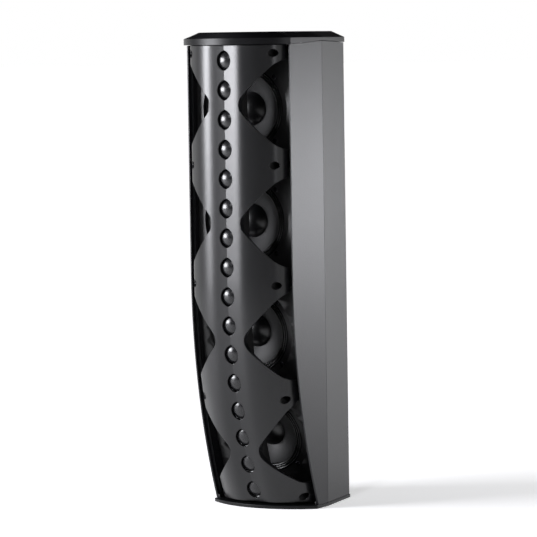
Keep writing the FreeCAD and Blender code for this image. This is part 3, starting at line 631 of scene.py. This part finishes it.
def buildBosses(turns=48):
    # tubes behind the screw holes, cut to the slope of the skin at the front
    shape = fasciaShape
    bore = shape["holeRadius"]
    wall = bore + shape["bossWall"]
    rings = [(wall, None), (wall, shape["bossBack"]), (2.3, shape["bossBack"]), (2.3, shape["bossFloor"]),
             (bore, shape["bossFloor"]), (bore, None)]
    points, faces = [], []
    for station in screwStations:
        place = stationPlace(station)
        for side in (-1, 1):
            rows = []
            for radius, depth in rings:
                rows.append(list(range(len(points), len(points) + turns)))
                for i in range(turns):
                    angle = 2 * math.pi * i / turns
                    x = side * screwX + radius * math.cos(angle)
                    y = depthAtX(x) + 1.4 if depth is None else depth
                    points.append(place @ Vector((x * mm, float(y) * mm, radius * math.sin(angle) * mm)))
            for a, b in zip(rows, rows[1:] + rows[:1]):
                faces += [[a[i], a[(i + 1) % turns], b[(i + 1) % turns], b[i]] for i in range(turns)]
    mesh = tidyMesh("fascia_bosses", points, faces)
    return keepPiece("fascia_bosses", mesh, "mattAbsChamber", "cabinet")


buildFascia()
buildBosses()
print("fascia built")


# geometry nodes: a pleated ring, for the woofer surrounds and the tweeter edges

def nodeGroup(name, inputs):
    tree = bpy.data.node_groups.new(name, "GeometryNodeTree")
    for label, kind, value in inputs:
        socket = tree.interface.new_socket(name=label, in_out="INPUT", socket_type=kind)
        if value is not None:
            socket.default_value = value
    tree.interface.new_socket(name="Geometry", in_out="OUTPUT", socket_type="NodeSocketGeometry")
    return tree, addNode(tree, "NodeGroupInput"), addNode(tree, "NodeGroupOutput")


def bakedNodes(name, tree, values, start=None):
    # runs a node tree on a scratch object and returns the plain mesh
    holder = bpy.data.objects.new(name, start or bpy.data.meshes.new(name))
    bpy.context.scene.collection.objects.link(holder)
    modifier = holder.modifiers.new("nodes", "NODES")
    modifier.node_group = tree
    identifiers = {i.name: i.identifier for i in tree.interface.items_tree
                   if i.item_type == "SOCKET" and i.in_out == "INPUT"}
    for label, value in values.items():
        modifier[identifiers[label]] = value
    bpy.context.view_layer.update()
    evaluated = holder.evaluated_get(bpy.context.evaluated_depsgraph_get())
    mesh = bpy.data.meshes.new_from_object(evaluated)
    holder.modifiers.remove(modifier)
    bpy.data.objects.remove(holder)
    return mesh


def mathNode(tree, operation, a, b=None):
    node = addNode(tree, "ShaderNodeMath", {"operation": operation})
    for slotNumber, value in ((0, a), (1, b)):
        if value is None:
            continue
        if isinstance(value, (int, float)):
            node.inputs[slotNumber].default_value = value
        else:
            tree.links.new(value, node.inputs[slotNumber])
    return node.outputs[0]


def pleatedRingTree():
    tree, entry, leave = nodeGroup("pleatedRing", [
        ("Inner Radius", "NodeSocketFloat", 0.05), ("Outer Radius", "NodeSocketFloat", 0.06),
        ("Rolls", "NodeSocketFloat", 3.0), ("Roll Height", "NodeSocketFloat", 0.0024),
        ("Thickness", "NodeSocketFloat", 0.0008), ("Profile Points", "NodeSocketInt", 65),
        ("Turn Points", "NodeSocketInt", 97), ("Material", "NodeSocketMaterial", None)])
    grid = addNode(tree, "GeometryNodeMeshGrid", {"Size X": 1.0, "Size Y": 1.0},
                   {"Vertices X": entry.outputs["Profile Points"], "Vertices Y": entry.outputs["Turn Points"]})
    position = addNode(tree, "GeometryNodeInputPosition")
    parts = addNode(tree, "ShaderNodeSeparateXYZ", None, {0: position.outputs[0]})
    t = mathNode(tree, "ADD", parts.outputs[0], 0.5)
    turn = mathNode(tree, "MULTIPLY", mathNode(tree, "ADD", parts.outputs[1], 0.5), 2 * math.pi)
    fold = mathNode(tree, "ABSOLUTE", mathNode(tree, "SUBTRACT", mathNode(tree, "MULTIPLY", t, 2.0), 1.0))
    u = mathNode(tree, "SUBTRACT", 1.0, fold)
    wave = mathNode(tree, "SINE", mathNode(tree, "MULTIPLY", t, 2 * math.pi))
    side = mathNode(tree, "MAXIMUM", mathNode(tree, "MINIMUM", mathNode(tree, "MULTIPLY", wave, 8.0), 1.0), -1.0)
    width = mathNode(tree, "SUBTRACT", entry.outputs["Outer Radius"], entry.outputs["Inner Radius"])
    radius = mathNode(tree, "ADD", entry.outputs["Inner Radius"], mathNode(tree, "MULTIPLY", u, width))
    angle = mathNode(tree, "MULTIPLY", mathNode(tree, "MULTIPLY", u, math.pi), entry.outputs["Rolls"])
    arch = mathNode(tree, "ABSOLUTE", mathNode(tree, "SINE", angle))
    roll = mathNode(tree, "MULTIPLY", arch, entry.outputs["Roll Height"])
    lift = mathNode(tree, "MULTIPLY", mathNode(tree, "MULTIPLY", side, 0.5), entry.outputs["Thickness"])
    depth = mathNode(tree, "SUBTRACT", lift, roll)
    place = addNode(tree, "ShaderNodeCombineXYZ", None, {
        0: mathNode(tree, "MULTIPLY", radius, mathNode(tree, "COSINE", turn)), 1: depth,
        2: mathNode(tree, "MULTIPLY", radius, mathNode(tree, "SINE", turn))})
    moved = addNode(tree, "GeometryNodeSetPosition", None,
                    {"Geometry": grid.outputs["Mesh"], "Position": place.outputs[0]})
    closed = addNode(tree, "GeometryNodeMergeByDistance", {"Distance": 1e-6}, {"Geometry": moved.outputs[0]})
    smooth = addNode(tree, "GeometryNodeSetShadeSmooth", None, {0: closed.outputs[0]})
    real = addNode(tree, "GeometryNodeRealizeInstances", None, {0: smooth.outputs[0]})
    painted = addNode(tree, "GeometryNodeSetMaterial", None,
                      {"Geometry": real.outputs[0], "Material": entry.outputs["Material"]})
    tree.links.new(painted.outputs[0], leave.inputs[0])
    return tree


pleatedRing = pleatedRingTree()


def ringPiece(name, values, place, finish, replaced=()):
    # a pleated ring, baked and placed, kept without a body; the nodes it replaces are hidden
    mesh = bakedNodes(name, pleatedRing, {**values, "Material": material[finish]})
    work = bmesh.new()
    work.from_mesh(mesh)
    bmesh.ops.recalc_face_normals(work, faces=work.faces)
    work.to_mesh(mesh)
    work.free()
    mesh.transform(place)
    obj = keepPiece(name, mesh, finish, None, replaced)
    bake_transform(obj)
    return obj


# screws: one pan head with a cross slot, set on every screw of a node

def movedUp(tree, mesh, height):
    rise = addNode(tree, "ShaderNodeCombineXYZ", None, {2: height})
    return addNode(tree, "GeometryNodeTransform", None,
                   {"Geometry": mesh.outputs["Mesh"], "Translation": rise.outputs[0]})


def panScrewTree():
    tree, entry, leave = nodeGroup("panScrew", [
        ("Places", "NodeSocketObject", None), ("Head Radius", "NodeSocketFloat", 0.004),
        ("Head Height", "NodeSocketFloat", 0.003), ("Shank Radius", "NodeSocketFloat", 0.0018),
        ("Length", "NodeSocketFloat", 0.014), ("Sides", "NodeSocketInt", 40), ("Slot Width", "NodeSocketFloat", 0.001),
        ("Slot Depth", "NodeSocketFloat", 0.0012), ("Material", "NodeSocketMaterial", None)])
    tall, radius = entry.outputs["Head Height"], entry.outputs["Head Radius"]
    sides, length = entry.outputs["Sides"], entry.outputs["Length"]
    rimHeight = mathNode(tree, "MULTIPLY", tall, 0.62)
    domeHeight = mathNode(tree, "MULTIPLY", tall, 0.38)
    # local Z runs out of the seat; the head is a short cylinder under a cone frustum
    rim = addNode(tree, "GeometryNodeMeshCylinder", None, {"Vertices": sides, "Radius": radius, "Depth": rimHeight})
    rimSet = movedUp(tree, rim, mathNode(tree, "MULTIPLY", rimHeight, 0.5))
    dome = addNode(tree, "GeometryNodeMeshCone", None, {
        "Vertices": sides, "Radius Bottom": radius, "Radius Top": mathNode(tree, "MULTIPLY", radius, 0.74),
        "Depth": domeHeight})
    domeSet = movedUp(tree, dome, rimHeight)
    shank = addNode(tree, "GeometryNodeMeshCylinder", None, {
        "Vertices": sides, "Radius": entry.outputs["Shank Radius"], "Depth": length})
    shankSet = movedUp(tree, shank, mathNode(tree, "MULTIPLY", length, -0.5))
    slotLong = mathNode(tree, "MULTIPLY", radius, 1.2)
    slotTall = mathNode(tree, "MULTIPLY", entry.outputs["Slot Depth"], 2.0)
    slots = []
    for first, second in ((slotLong, entry.outputs["Slot Width"]), (entry.outputs["Slot Width"], slotLong)):
        size = addNode(tree, "ShaderNodeCombineXYZ", None, {0: first, 1: second, 2: slotTall})
        bar = addNode(tree, "GeometryNodeMeshCube", None, {"Size": size.outputs[0]})
        slots.append(movedUp(tree, bar, tall))
    body = addNode(tree, "GeometryNodeMeshBoolean", {"operation": "UNION"})
    for part in (rimSet, domeSet, shankSet):
        tree.links.new(part.outputs[0], body.inputs["Mesh 2"])
    cut = addNode(tree, "GeometryNodeMeshBoolean", {"operation": "DIFFERENCE"}, {0: body.outputs[0]})
    for part in slots:
        tree.links.new(part.outputs[0], cut.inputs["Mesh 2"])
    places = addNode(tree, "GeometryNodeObjectInfo", None, {"Object": entry.outputs["Places"]})
    normal = addNode(tree, "GeometryNodeInputNamedAttribute", {"data_type": "FLOAT_VECTOR", "Name": "axis"})
    turned = addNode(tree, "FunctionNodeAlignRotationToVector", {"axis": "Z"}, {"Vector": normal.outputs[0]})
    many = addNode(tree, "GeometryNodeInstanceOnPoints", None, {
        "Points": places.outputs["Geometry"], "Instance": cut.outputs[0], "Rotation": turned.outputs[0]})
    real = addNode(tree, "GeometryNodeRealizeInstances", None, {0: many.outputs[0]})
    painted = addNode(tree, "GeometryNodeSetMaterial", None,
                      {"Geometry": real.outputs[0], "Material": entry.outputs["Material"]})
    tree.links.new(painted.outputs[0], leave.inputs[0])
    return tree


panScrew = panScrewTree()


def screwSet(name, node, axisOf, finish, values):
    # seat point and outward axis of every screw solid in the CAD node; lengths in mm
    seats, axes = [], []
    for group in islands(node):
        middle = group.mean(0)
        axis = np.array(axisOf(middle))
        along = (group - middle) @ axis
        seats.append(middle + axis * (along.max() - values["Head Height"]))
        axes.append(axis)
    points = bpy.data.meshes.new(f"{name}_places")
    points.from_pydata([tuple(p * mm) for p in seats], [], [])
    axisLayer = points.attributes.new("axis", "FLOAT_VECTOR", "POINT")
    axisLayer.data.foreach_set("vector", np.array(axes, dtype=np.float32).ravel())
    holder = bpy.data.objects.new(f"{name}_places", points)
    bpy.context.scene.collection.objects.link(holder)
    lengths = {label: value * mm for label, value in values.items()}
    mesh = bakedNodes(name, panScrew, {**lengths, "Places": holder, "Material": material[finish]})
    bpy.data.objects.remove(holder)
    mesh.name = name
    mesh.shade_smooth()
    mesh.set_sharp_from_angle(angle=math.radians(25))
    return keepPiece(name, mesh, finish, "cabinet", [node])


def lineAxis(middle):
    lean = leanAt(lineDistance(middle[1], middle[2]))
    return (0.0, -math.cos(lean), -math.sin(lean))


screwSet("fascia_screw_set", "fascia_screws", lineAxis, "blackOxideSteel",
         {"Head Radius": 4.2, "Head Height": 3.0, "Shank Radius": 1.8, "Length": 14.0})
screwSet("woofer_screw_set", "woofer_screws", lineAxis, "blackOxideSteel",
         {"Head Radius": 3.9, "Head Height": 2.4, "Shank Radius": 1.8, "Length": 11.0})
print("screws set")


# tweeters

tweeterShape = dict(domeRadius=13.4, rise=4.6, apex=0.2, shell=0.5, formerLength=9.0, ringOuter=16.0, edgeDepth=5.6)


def buildTweeter(name, station):
    shape = tweeterShape
    number = name[-2:]
    r, rise, apex = shape["domeRadius"], shape["rise"], shape["apex"]
    ball = (r * r + rise * rise) / (2 * rise)
    reach = math.asin(r / ball)
    outer = [(ball * math.sin(a), apex + ball * (1 - math.cos(a))) for a in np.linspace(0, reach, 18)]
    outer[0] = (0.0, apex)
    back = apex + rise + shape["formerLength"]
    profile = outer + [(r, back), (r - 0.7, back), (r - 0.7, apex + rise + 0.2)]
    inner = [(radius * 0.94, depth + shape["shell"]) for radius, depth in outer[:-1]][::-1]
    inner[-1] = (0.0, apex + shape["shell"])
    place = stationPlace(station)
    mesh = turnedMesh(f"tweeter_dome_film_{number}", profile + inner, place, 64)
    keepPiece(mesh.name, mesh, "polyesterFilmDome", f"tweeter_{number}", [name])
    values = {"Inner Radius": (r - 0.15) * mm, "Outer Radius": shape["ringOuter"] * mm, "Rolls": 1.0,
              "Roll Height": 1.0 * mm,
              "Thickness": 0.4 * mm, "Profile Points": 25, "Turn Points": 49}
    lowered = place @ Matrix.Translation((0, shape["edgeDepth"] * mm, 0))
    ringPiece(f"tweeter_edge_{number}", values, lowered, "butylRubber")


for tweeterName, tweeterStation in zip(tweeterNames, tweeterStations):
    buildTweeter(tweeterName, tweeterStation)
print("tweeters built")


# woofers

wooferShape = dict(coneRadius=49.8, surroundOuter=60.0, surroundInner=50.2, rolls=3.0, rollHeight=2.6, flange=62.0,
                   capShare=0.5, neckShare=0.323, capRise=12.0, paper=1.2)


def buildWoofer(number, station):
    shape = wooferShape
    body = f"woofer_{number}"
    place = stationPlace(station)
    f, r, t = shape["flange"], shape["coneRadius"], shape["paper"]
    cap = shape["capShare"] * r
    neck = shape["neckShare"] * r + 0.2
    front = arcPoints(r, f + 1.0, cap, f + 11.5, 0.9, 14) + arcPoints(cap, f + 11.5, neck, f + 17, 0.2, 4)[1:]
    back = [(radius, depth + t * 1.2) for radius, depth in front][::-1]
    back[-1] = (r, f + 1.0 + t)
    mesh = turnedMesh(f"woofer_cone_paper_{number}", front + back, place, 128)
    keepPiece(mesh.name, mesh, "coatedPaperCone", body, [f"woofer_cone_{number}"])
    radius = cap - 0.3
    edge = f + 11.2
    ball = (radius ** 2 + shape["capRise"] ** 2) / (2 * shape["capRise"])
    reach = math.asin(radius / ball)
    apex = edge - shape["capRise"]
    outer = [(ball * math.sin(a), apex + ball * (1 - math.cos(a))) for a in np.linspace(0, reach, 24)]
    outer[0] = (0.0, apex)
    inner = [(max(0.0, q - 0.8 * q / radius), depth + 0.9) for q, depth in outer][::-1]
    inner[-1] = (0.0, apex + 0.9)
    mesh = turnedMesh(f"dust_cap_shell_{number}", outer + inner, place, 96)
    keepPiece(mesh.name, mesh, "polypropyleneCap", body, [f"dust_cap_{number}"])
    values = {"Inner Radius": shape["surroundInner"] * mm, "Outer Radius": shape["surroundOuter"] * mm,
              "Rolls": shape["rolls"], "Roll Height": shape["rollHeight"] * mm, "Thickness": 1.0 * mm,
              "Profile Points": 97, "Turn Points": 129}
    lowered = place @ Matrix.Translation((0, (f + 1.4) * mm, 0))
    ringPiece(f"woofer_surround_rolls_{number}", values, lowered, "butylRubber",
              [f"woofer_surround_{number}"])


for wooferNumber, wooferStation in zip(wooferNumbers, wooferStations):
    buildWoofer(wooferNumber, wooferStation)
print("woofers built")


# cabinet shells, caps and inner parts

softCopy("cabinet_front_walls", "front_shell", "texturedAbsWalls", "cabinet", 0.9, 3, 8.0)
softCopy("cabinet_rear_shell", "rear_shell", "texturedAbsWalls", "cabinet", 0.9, 3, 8.0)
softCopy("cap_top", "top_cap", "satinAbsCaps", "cabinet", 0.7, 3, 8.0, 12.0)
softCopy("cap_bottom", "bottom_cap", "satinAbsCaps", "cabinet", 0.7, 3, 4.0)
softCopy("baffle_board", "baffle", "paintedFibreboard", "cabinet", 0.0)
softCopy("tweeter_chamber", "tweeter_spine", "mattAbsChamber", "cabinet", 0.0)
for wooferNumber in wooferNumbers:
    softCopy(f"woofer_basket_{wooferNumber}", f"woofer_frame_{wooferNumber}", "enamelledCasting", "cabinet",
             0.0)
print("cabinet built")


# CAD nodes that keep their own shape

kept = {"tweeter_bodies": "zincPlatedSteel", "woofer_spiders": "impregnatedCotton", "input_panel": "mattAbsPanel",
        "terminal_socket": "greenPolyamide", "terminal_plug": "greenPolyamide", "tap_knob": "satinAbsKnob",
        "voicing_slider": "satinAbsKnob", "crossover_board": "solderMaskBoard",
        "crossover_parts": "lacqueredComponents",
        "bracket_inserts": "turnedBrass", "panel_screws": "blackOxideSteel"}
for wooferNumber in wooferNumbers:
    kept[f"woofer_magnet_{wooferNumber}"] = "zincPlatedSteel"
    kept[f"voice_coil_{wooferNumber}"] = "copperWinding"
for node, finish in kept.items():
    mesh = nodes[node].data
    mesh.materials.clear()
    mesh.materials.append(material[finish])
print("kept nodes painted:", len(kept))


# stage: pale floor, soft lights, camera

studio = dict(floorSize=160.0, floorColour="#f4f4f4", glowNear=0.28, glowFar=1.02, glowFrom=-0.9, glowTo=2.2,
              horizon="#ffffff", away="#303032", overhead="#161617", lightTint=(0.95, 0.955, 1.0))


def flatSheet(name, size, height):
    half = size / 2
    mesh = bpy.data.meshes.new(name)
    mesh.from_pydata([(-half, -half, height), (half, -half, height), (half, half, height), (-half, half, height)], [],
                     [(0, 1, 2, 3)])
    obj = bpy.data.objects.new(name, mesh)
    bpy.context.scene.collection.objects.link(obj)
    return obj


floor = flatSheet("studio_floor", studio["floorSize"], -0.0002)
floorMaterial, floorTree = newMaterial("backlitAcrylicFloor")  # painted glow: an emitting floor, dimmer near the object and brighter far off, standing in for a lit white backdrop
spot = addNode(floorTree, "ShaderNodeTexCoord")
spotParts = addNode(floorTree, "ShaderNodeSeparateXYZ", None, {0: spot.outputs["Object"]})
# painted glow: emission strength rises with Y, from glowNear by the object to glowFar behind it
rise = addNode(floorTree, "ShaderNodeMapRange", {"From Min": studio["glowFrom"], "From Max": studio["glowTo"],
                                                 "To Min": studio["glowNear"], "To Max": studio["glowFar"]},
               {"Value": spotParts.outputs["Y"]})
finishMaterial(floorTree, {"Base Color": hexColour(studio["floorColour"]), "Roughness": 0.8,
                           "Emission Color": (1, 1, 1, 1)}, {"Emission Strength": rise.outputs["Result"]})
floor.data.materials.append(floorMaterial)


def softBox(name, azimuth, distance, height, width, tall, power, aimHeight=0.35):
    light = bpy.data.lights.new(name, "AREA")
    light.shape = "RECTANGLE"
    light.size, light.size_y, light.energy = width, tall, power
    light.color = studio["lightTint"]
    obj = bpy.data.objects.new(name, light)
    bpy.context.scene.collection.objects.link(obj)
    a = math.radians(azimuth)
    obj.location = (math.sin(a) * distance, -math.cos(a) * distance, height)
    aim = Vector((0, 0, aimHeight)) - obj.location
    obj.rotation_euler = aim.to_track_quat("-Z", "Y").to_euler()
    obj.visible_camera = False
    return obj


softBox("key_strip", -46, 2.2, 0.78, 1.10, 0.80, 96, 0.78)
softBox("right_strip", 75, 2.2, 0.95, 0.6, 0.7, 9, 0.8)
softBox("side_box", 147, 2.6, 0.36, 0.8, 0.24, 18, 0.36)
softBox("front_fill", 12, 2.6, 1.9, 0.32, 0.32, 20, 0.4)

world = bpy.data.worlds.new("studio")
bpy.context.scene.world = world
world.use_nodes = True
world.node_tree.nodes.clear()
sky = world.node_tree
ray = addNode(sky, "ShaderNodeTexCoord")
parts = addNode(sky, "ShaderNodeSeparateXYZ", None, {0: ray.outputs["Generated"]})
behind = addNode(sky, "ShaderNodeMapRange", {"From Min": -0.35, "From Max": 0.35}, {"Value": parts.outputs["Y"]})
level = addNode(sky, "ShaderNodeMapRange", {"From Min": 0.06, "From Max": 0.22}, {"Value": parts.outputs["Z"]})
around = addNode(sky, "ShaderNodeMix", {"data_type": "RGBA"}, {"Factor": behind.outputs["Result"]})
around.inputs[6].default_value = hexColour(studio["away"])
around.inputs[7].default_value = hexColour(studio["horizon"])
whole = addNode(sky, "ShaderNodeMix", {"data_type": "RGBA"}, {"Factor": level.outputs["Result"], 6: around.outputs[2]})
whole.inputs[7].default_value = hexColour(studio["overhead"])
glow = addNode(sky, "ShaderNodeBackground", {"Strength": 1.0}, {"Color": whole.outputs[2]})
addNode(sky, "ShaderNodeOutputWorld", None, {"Surface": glow.outputs[0]})

view = dict(place=(2.23204, -3.73655, 0.67847), yaw=30.77, pitch=4.33, roll=-0.88, lens=199.54, sensor=36.0)
yaw, pitch, roll = (math.radians(view[k]) for k in ("yaw", "pitch", "roll"))
forward = Vector((-math.sin(yaw) * math.cos(pitch), math.cos(yaw) * math.cos(pitch), -math.sin(pitch)))
level0 = Vector((math.cos(yaw), math.sin(yaw), 0))
up0 = level0.cross(forward)
rightward = level0 * math.cos(roll) + up0 * math.sin(roll)
upward = up0 * math.cos(roll) - level0 * math.sin(roll)
cameraData = bpy.data.cameras.new("studio_camera")
cameraData.lens, cameraData.sensor_width = view["lens"], view["sensor"]
cameraData.clip_end = 100
camera = bpy.data.objects.new("studio_camera", cameraData)
bpy.context.scene.collection.objects.link(camera)
turn = Matrix((rightward, upward, -forward)).transposed()
camera.matrix_world = Matrix.Translation(view["place"]) @ turn.to_4x4()
bpy.context.scene.camera = camera
bpy.context.scene.view_settings.view_transform = "Standard"
print("stage set")
